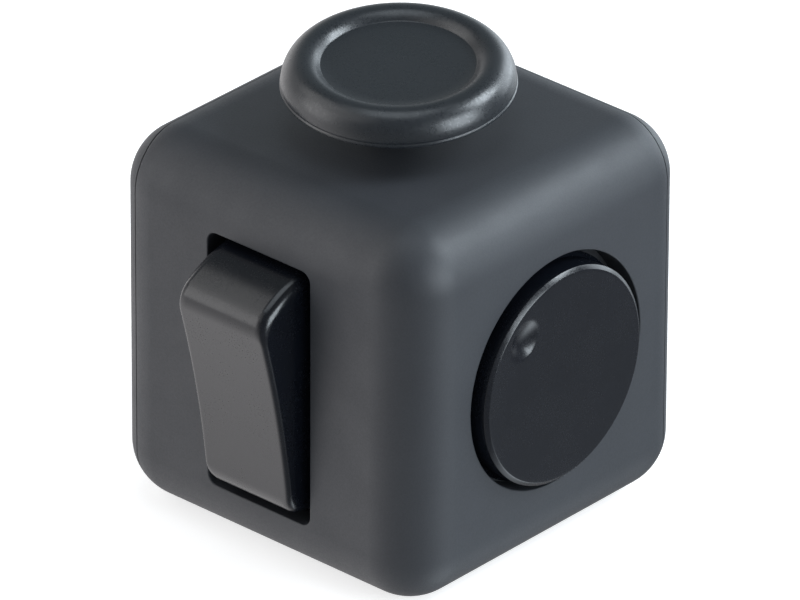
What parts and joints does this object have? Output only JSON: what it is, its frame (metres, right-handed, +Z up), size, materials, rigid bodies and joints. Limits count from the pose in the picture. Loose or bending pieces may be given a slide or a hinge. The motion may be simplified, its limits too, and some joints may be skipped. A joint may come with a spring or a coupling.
{
  "type": "fidget cube",
  "caption": "Palm-sized plastic cube with a joystick, rocker switch, spinning dial, push buttons, toothed wheels with a rolling ball, and a thumb dish, one on each face.",
  "frame": {"origin": "middle of the whole outline, on the surface the cube rests on", "axes": "+Z up through the joystick, +X out of the dial, -Y out of the rocker switch, -X out of the push buttons, +Y out of the wheels and ball"},
  "size_m": [0.0353, 0.0388, 0.0399],
  "materials": {
    "shell_plastic": "fine grained charcoal moulding",
    "control_plastic": "satin black moulding",
    "frame_plastic": "dark grey acetal",
    "silicone": "translucent grey silicone",
    "steel": "zinc plated",
    "polished_steel": "polished"
  },
  "bodies": {
    "casing": {"main_shell": "shell_plastic", "button_face_cover": "shell_plastic", "roller_face_cover": "shell_plastic", "rocker_pin": "steel", "rocker_housing": "frame_plastic", "rocker_housing_screw_left": "steel", "rocker_housing_screw_right": "steel", "dial_wave_washer": "steel", "joystick_housing": "frame_plastic", "joystick_spring_plate": "frame_plastic", "joystick_return_spring": "steel", "joystick_housing_screw_1": "steel", "joystick_housing_screw_2": "steel", "joystick_housing_screw_3": "steel", "joystick_housing_screw_4": "steel", "button_back_plate": "frame_plastic", "button_plate_screw_1": "steel", "button_plate_screw_2": "steel", "button_plate_screw_3": "steel", "button_plate_screw_4": "steel", "click_dome_upper_front": "steel", "click_dome_centre": "steel", "click_dome_lower_front": "steel", "silicone_pad_upper_back": "silicone", "silicone_pad_lower_back": "silicone", "roller_axle": "steel", "roller_bracket": "frame_plastic", "roller_click_spring": "steel", "roller_bracket_screw_1": "steel", "roller_bracket_screw_2": "steel", "roller_bracket_screw_3": "steel", "roller_bracket_screw_4": "steel", "click_spring_screw_left": "steel", "click_spring_screw_right": "steel", "ball_spring": "steel"},
    "rocker": {"rocker_switch": "control_plastic", "rocker_detent_plunger": "steel", "rocker_detent_spring": "steel"},
    "dial": {"dial_disc": "control_plastic", "dial_flat_washer": "steel", "dial_screw": "steel"},
    "joystick_ring": {"joystick_gimbal_ring": "frame_plastic"},
    "joystick": {"joystick_cap": "control_plastic", "joystick_stem": "control_plastic"},
    "push_button_upper_front": {"button_upper_front": "control_plastic"},
    "push_button_upper_back": {"button_upper_back": "control_plastic"},
    "push_button_centre": {"button_centre": "control_plastic"},
    "push_button_lower_front": {"button_lower_front": "control_plastic"},
    "push_button_lower_back": {"button_lower_back": "control_plastic"},
    "wheel_left": {"roller_wheel_left": "control_plastic"},
    "wheel_middle": {"roller_wheel_middle": "control_plastic"},
    "wheel_right": {"roller_wheel_right": "control_plastic"},
    "ball_carrier": {"ball_cup": "frame_plastic"},
    "ball": {"rolling_ball": "polished_steel"}
  },
  "joints": [
    {"name": "joystick_tilt_sideways", "type": "hinge", "parent": "casing", "child": "joystick_ring", "pos_m": [0, 0.0016, 0.026], "axis": [0, 1, 0], "range_deg": [-12.7, 7.3], "stiffness_Nm_per_rad": 0.06},
    {"name": "joystick_tilt_forward", "type": "hinge", "parent": "joystick_ring", "child": "joystick", "pos_m": [0, 0.0016, 0.026], "axis": [0.9989, 0, -0.0471], "range_deg": [-14.3, 5.7], "stiffness_Nm_per_rad": 0.06},
    {"name": "rocker_flip", "type": "hinge", "parent": "casing", "child": "rocker", "pos_m": [0, -0.0124, 0.0165], "axis": [-1, 0, 0], "range_deg": [0, 22]},
    {"name": "dial_spin", "type": "hinge", "parent": "casing", "child": "dial", "pos_m": [0.0155, 0.0016, 0.0167], "axis": [1, 0, 0], "continuous": true},
    {"name": "press_upper_front", "type": "slide", "parent": "casing", "child": "push_button_upper_front", "axis": [1, 0, 0], "range_m": [0, 0.0009], "stiffness_N_per_m": 1500, "springref_m": -0.0002, "deforming": ["click_dome_upper_front"]},
    {"name": "press_upper_back", "type": "slide", "parent": "casing", "child": "push_button_upper_back", "axis": [1, 0, 0], "range_m": [0, 0.0009], "stiffness_N_per_m": 1500, "springref_m": -0.0002, "deforming": ["silicone_pad_upper_back"]},
    {"name": "press_centre", "type": "slide", "parent": "casing", "child": "push_button_centre", "axis": [1, 0, 0], "range_m": [0, 0.0009], "stiffness_N_per_m": 1500, "springref_m": -0.0002, "deforming": ["click_dome_centre"]},
    {"name": "press_lower_front", "type": "slide", "parent": "casing", "child": "push_button_lower_front", "axis": [1, 0, 0], "range_m": [0, 0.0009], "stiffness_N_per_m": 1500, "springref_m": -0.0002, "deforming": ["click_dome_lower_front"]},
    {"name": "press_lower_back", "type": "slide", "parent": "casing", "child": "push_button_lower_back", "axis": [1, 0, 0], "range_m": [0, 0.0009], "stiffness_N_per_m": 1500, "springref_m": -0.0002, "deforming": ["silicone_pad_lower_back"]},
    {"name": "wheel_spin_left", "type": "hinge", "parent": "casing", "child": "wheel_left", "pos_m": [0.0043, 0.0144, 0.0217], "axis": [1, 0, 0], "continuous": true},
    {"name": "wheel_spin_middle", "type": "hinge", "parent": "casing", "child": "wheel_middle", "pos_m": [0, 0.0144, 0.0217], "axis": [1, 0, 0], "continuous": true},
    {"name": "wheel_spin_right", "type": "hinge", "parent": "casing", "child": "wheel_right", "pos_m": [-0.0043, 0.0144, 0.0217], "axis": [1, 0, 0], "continuous": true},
    {"name": "ball_press", "type": "slide", "parent": "casing", "child": "ball_carrier", "axis": [0, -1, 0], "range_m": [0, 0.0008], "stiffness_N_per_m": 1200, "springref_m": -0.0002, "deforming": ["ball_spring"]},
    {"name": "ball_roll", "type": "hinge", "parent": "ball_carrier", "child": "ball", "pos_m": [0, 0.0154, 0.0101], "axis": [1, 0, 0], "continuous": true}
  ]
}
